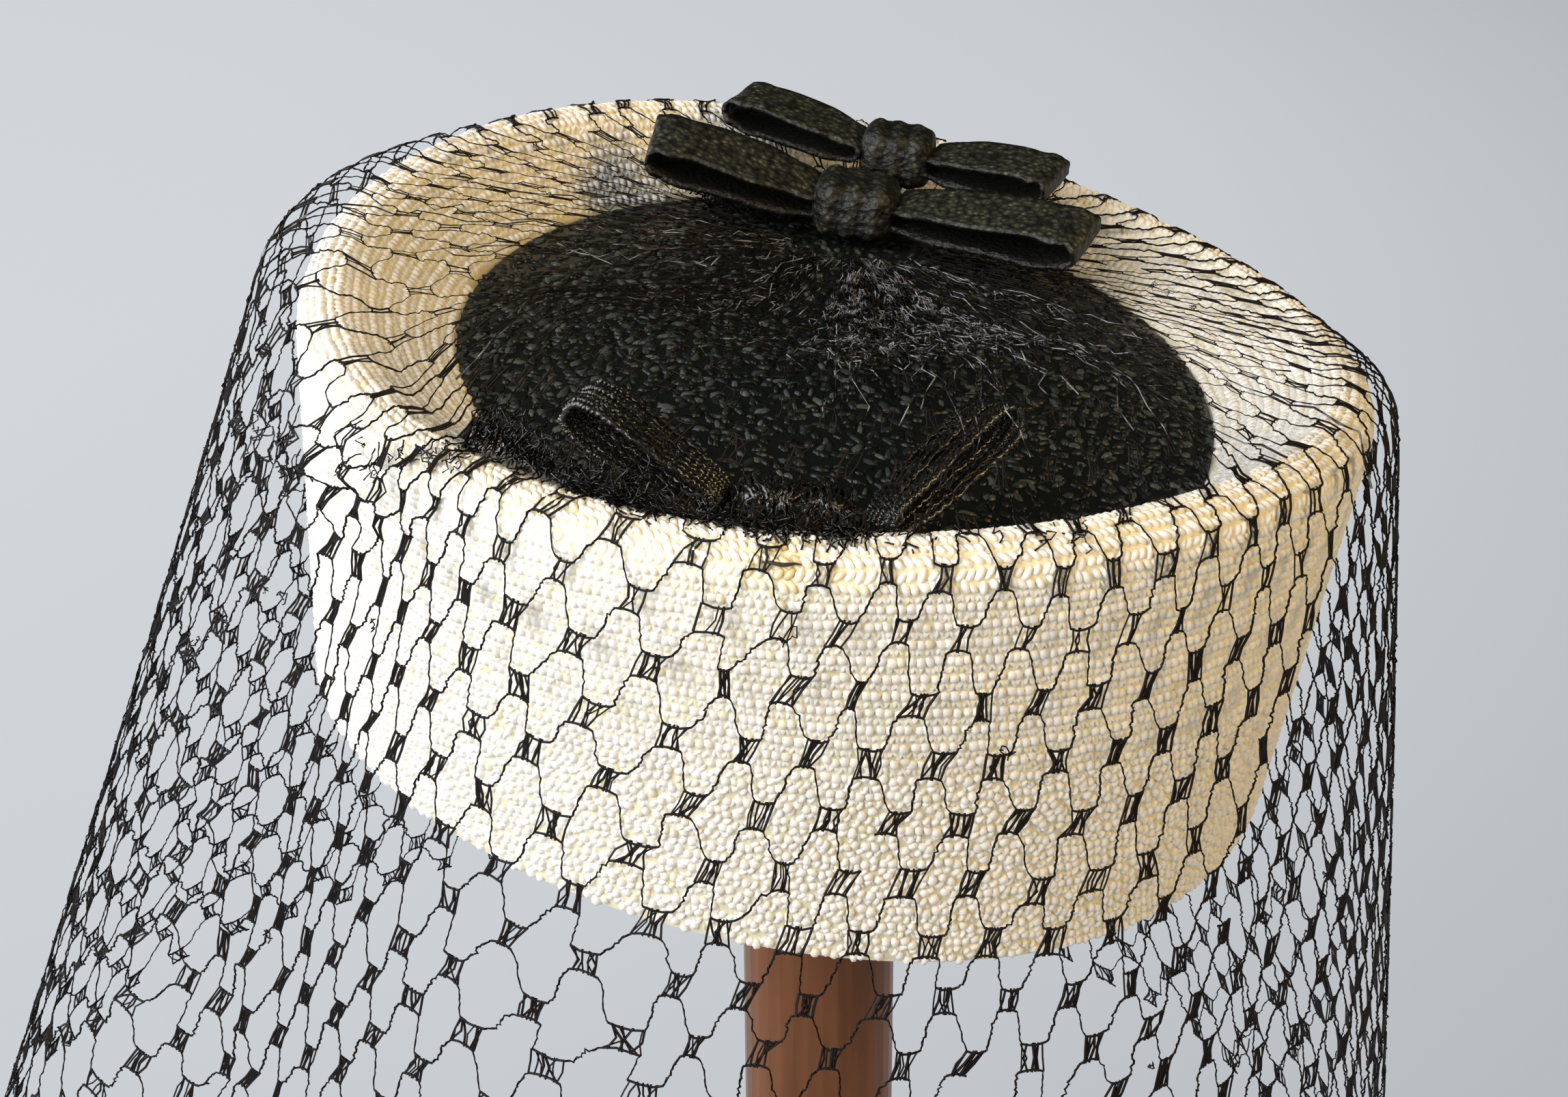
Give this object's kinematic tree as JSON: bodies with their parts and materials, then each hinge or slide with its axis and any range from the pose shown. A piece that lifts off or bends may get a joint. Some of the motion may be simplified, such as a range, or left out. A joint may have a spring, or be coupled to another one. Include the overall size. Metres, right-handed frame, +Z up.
{
  "type": "pillbox hat on a stand",
  "caption": "Straw pillbox hat with a dark oval crown, ribbon bows and a net veil, leant on a plain round post with a disc foot.",
  "frame": {"origin": "middle of the stand's flat underside, on the post's axis", "axes": "+Z up along the post; the hat's front, with the small bow, is towards -Y; +X is the side that the hat leans down to"},
  "size_m": [0.2895, 0.2866, 0.3232],
  "materials": {
    "cream_straw": "matt sewn straw braid",
    "black_straw": "glossy black straw braid",
    "black_ribbon": "woven black straw ribbon with a slight glitter",
    "black_cord": "twisted cord",
    "black_net": "fine thread net",
    "brown_post": "satin varnish"
  },
  "bodies": {
    "root": {"straw_cuff": "cream_straw", "straw_crown": "black_straw", "back_bow_lower_left_loop": "black_ribbon", "back_bow_lower_right_loop": "black_ribbon", "back_bow_lower_knot": "black_ribbon", "back_bow_upper_left_loop": "black_ribbon", "back_bow_upper_right_loop": "black_ribbon", "back_bow_upper_knot": "black_ribbon", "front_bow_left_loop": "black_cord", "front_bow_right_loop": "black_cord", "front_bow_knot": "black_cord", "net_veil": "black_net", "stand_cap": "brown_post", "stand_post": "brown_post", "stand_foot": "brown_post"}
  },
  "joints": []
}
